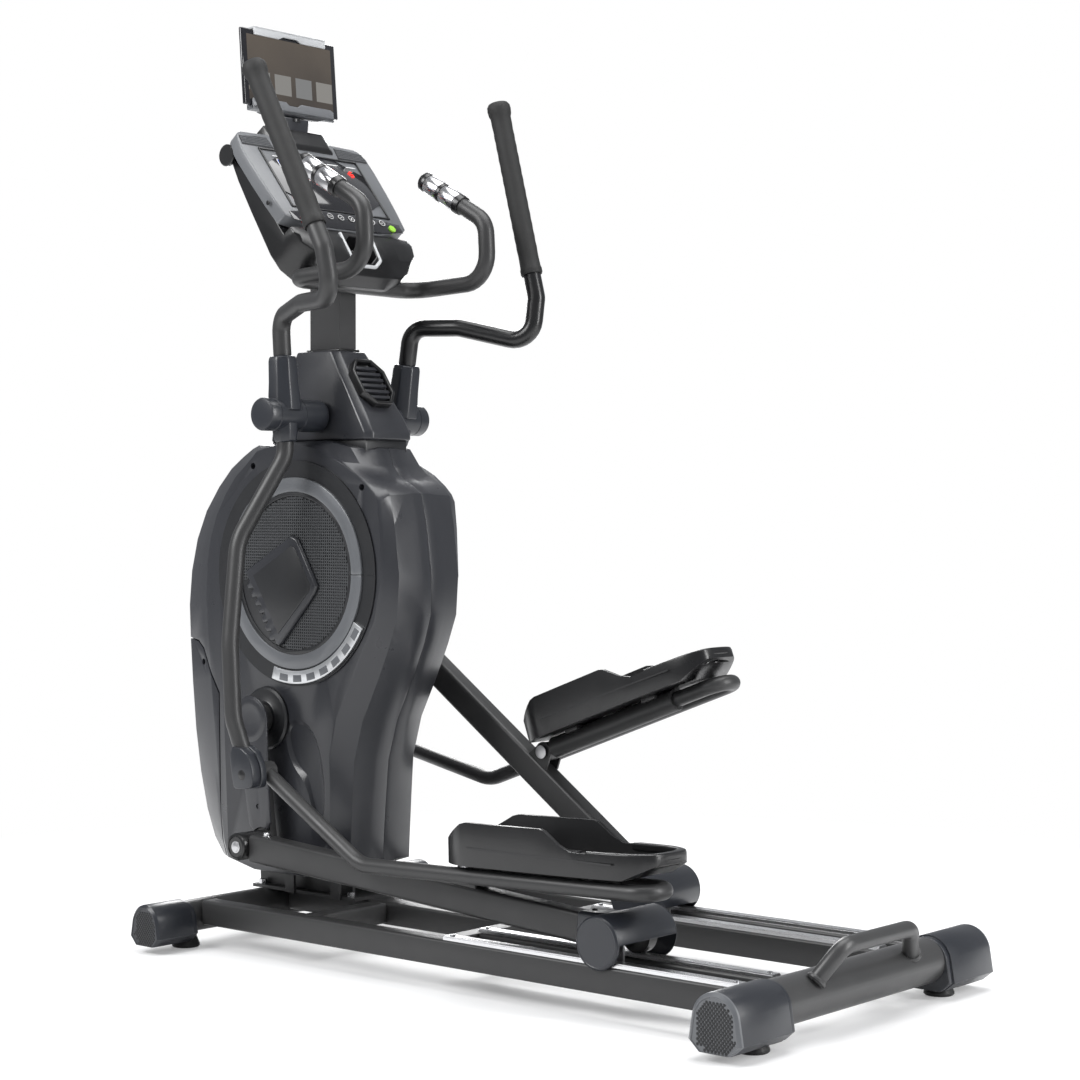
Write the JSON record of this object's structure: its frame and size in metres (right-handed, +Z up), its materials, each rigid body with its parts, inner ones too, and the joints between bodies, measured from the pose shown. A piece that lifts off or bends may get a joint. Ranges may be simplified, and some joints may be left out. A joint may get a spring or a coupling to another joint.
{
  "type": "elliptical trainer",
  "caption": "Front-drive elliptical trainer with pedals on roller arms, swinging handles, console, pulse handlebar and tablet holder.",
  "frame": {"origin": "on the floor under the middle of the bounding box", "axes": "+X to the rear where the user steps on, +Y to the user's right, +Z up"},
  "size_m": [1.5969, 0.75, 1.7555],
  "materials": {
    "frame_paint": "satin dark grey",
    "rear_paint": "satin grey",
    "rail_steel": "ground",
    "bright_steel": "polished",
    "axle_steel": "turned",
    "iron": "turned",
    "shell_plastic": "satin blue grey",
    "cap_plastic": "satin blue grey",
    "disc_plastic": "satin",
    "black_plastic": "matte",
    "pedal_plastic": "matte textured",
    "nylon": "matte",
    "foam": "foam",
    "rubber": "matte",
    "grey_plastic": "satin silver grey",
    "window": "gloss black",
    "key_green": "gloss",
    "key_red": "gloss",
    "holder_plastic": "satin",
    "clip_plastic": "satin",
    "screen_glass": "gloss",
    "board_green": "satin",
    "coil_copper": "lacquered",
    "belt_rubber": "matte"
  },
  "bodies": {
    "frame": {"front_stabiliser": "frame_paint", "rear_stabiliser": "rear_paint", "front_end_caps": "cap_plastic", "rear_end_caps": "cap_plastic", "levelling_feet": "rubber", "side_beams": "frame_paint", "inner_frame": "frame_paint", "centre_beam": "frame_paint", "track_rails": "rail_steel", "carry_handle": "rear_paint", "drive_frame": "frame_paint", "crank_bearings": "axle_steel", "brake_coil": "coil_copper", "control_board": "board_green", "drive_belt": "belt_rubber", "mast": "frame_paint", "pivot_axle": "axle_steel", "left_shroud": "shell_plastic", "right_shroud": "shell_plastic", "mast_cover": "shell_plastic", "accessory_tray": "black_plastic", "disc_covers": "disc_plastic", "frame_screws": "bright_steel", "console_back": "black_plastic", "console_front": "grey_plastic", "display_window": "window", "keypad": "window", "pulse_bar": "frame_paint", "pulse_grips": "foam", "pulse_sensors": "bright_steel", "tablet_neck": "holder_plastic", "tablet_holder": "holder_plastic", "tablet": "screen_glass"},
    "crank": {"crank_axle": "axle_steel", "crank_pulley": "nylon", "left_crank_arm": "frame_paint", "right_crank_arm": "frame_paint", "crank_covers": "shell_plastic"},
    "flywheel": {"flywheel": "iron"},
    "tablet_clip": {"tablet_clip": "clip_plastic"},
    "start_button": {"start_button": "key_green"},
    "stop_button": {"stop_button": "key_red"},
    "left_carriage": {"left_carriage_axle": "axle_steel"},
    "left_roller_pair": {"left_rollers": "nylon"},
    "left_roller_arm": {"left_roller_arm": "frame_paint", "left_roller_cover": "cap_plastic"},
    "left_pedal": {"left_pedal_frame": "frame_paint", "left_pedal": "pedal_plastic"},
    "left_swing": {"left_swing_arm": "frame_paint", "left_grip": "foam", "left_swing_covers": "cap_plastic"},
    "right_carriage": {"right_carriage_axle": "axle_steel"},
    "right_roller_pair": {"right_rollers": "nylon"},
    "right_roller_arm": {"right_roller_arm": "frame_paint", "right_roller_cover": "cap_plastic"},
    "right_pedal": {"right_pedal_frame": "frame_paint", "right_pedal": "pedal_plastic"},
    "right_swing": {"right_swing_arm": "frame_paint", "right_grip": "foam", "right_swing_covers": "cap_plastic"}
  },
  "joints": [
    {"name": "crank_spin", "type": "hinge", "parent": "frame", "child": "crank", "pos_m": [-0.5205, 0, 0.42], "axis": [0, 1, 0], "continuous": true},
    {"name": "flywheel_spin", "type": "hinge", "parent": "frame", "child": "flywheel", "pos_m": [-0.4755, 0, 0.7], "axis": [0, 1, 0], "continuous": true},
    {"name": "left_carriage_slide", "type": "slide", "parent": "frame", "child": "left_carriage", "axis": [1, 0, 0], "range_m": [-0.31, 0.08]},
    {"name": "left_rollers_spin", "type": "hinge", "parent": "left_carriage", "child": "left_roller_pair", "pos_m": [0.42448, 0, 0.125], "axis": [0, 1, 0], "continuous": true},
    {"name": "left_arm_pitch", "type": "hinge", "parent": "left_carriage", "child": "left_roller_arm", "pos_m": [0.42448, 0, 0.125], "axis": [0, 1, 0], "range_deg": [0, 31.33]},
    {"name": "left_pedal_tilt", "type": "hinge", "parent": "left_roller_arm", "child": "left_pedal", "pos_m": [0.08368, 0, 0.19835], "axis": [0, 1, 0], "range_deg": [-50.23, 0]},
    {"name": "left_swing", "type": "hinge", "parent": "frame", "child": "left_swing", "pos_m": [-0.4205, 0, 0.998], "axis": [0, 1, 0], "range_deg": [-4.76, 18.16]},
    {"name": "right_carriage_slide", "type": "slide", "parent": "frame", "child": "right_carriage", "axis": [1, 0, 0], "range_m": [-0.08, 0.31]},
    {"name": "right_rollers_spin", "type": "hinge", "parent": "right_carriage", "child": "right_roller_pair", "pos_m": [0.19441, 0, 0.125], "axis": [0, 1, 0], "continuous": true},
    {"name": "right_arm_pitch", "type": "hinge", "parent": "right_carriage", "child": "right_roller_arm", "pos_m": [0.19441, 0, 0.125], "axis": [0, 1, 0], "range_deg": [-31.33, 0]},
    {"name": "right_pedal_tilt", "type": "hinge", "parent": "right_roller_arm", "child": "right_pedal", "pos_m": [-0.05854, 0, 0.36488], "axis": [0, 1, 0], "range_deg": [-0.1, 50.23]},
    {"name": "right_swing", "type": "hinge", "parent": "frame", "child": "right_swing", "pos_m": [-0.4205, 0, 0.998], "axis": [0, 1, 0], "range_deg": [-18.16, 4.76]},
    {"name": "tablet_clip_slide", "type": "slide", "parent": "frame", "child": "tablet_clip", "axis": [-0.0785, 0, 0.9969], "range_m": [0, 0.022], "stiffness_N_per_m": 120, "springref_m": -0.01},
    {"name": "start_press", "type": "slide", "parent": "frame", "child": "start_button", "axis": [-0.7848, 0, -0.6198], "range_m": [0, 0.0012], "stiffness_N_per_m": 400, "springref_m": -0.0004},
    {"name": "stop_press", "type": "slide", "parent": "frame", "child": "stop_button", "axis": [-0.7848, 0, -0.6198], "range_m": [0, 0.0012], "stiffness_N_per_m": 400, "springref_m": -0.0004}
  ],
  "couplings": [
    {"joint": "flywheel_spin", "follows": "crank_spin", "ratio": 5},
    {"joint": "right_carriage_slide", "follows": "left_carriage_slide", "ratio": -1},
    {"joint": "left_swing", "follows": "left_carriage_slide", "rad_per_m": -1.017},
    {"joint": "right_swing", "follows": "left_carriage_slide", "rad_per_m": 1.017},
    {"joint": "right_arm_pitch", "follows": "left_arm_pitch", "ratio": -1},
    {"joint": "left_pedal_tilt", "follows": "left_arm_pitch", "ratio": -1.6},
    {"joint": "right_pedal_tilt", "follows": "left_arm_pitch", "ratio": 1.6}
  ]
}
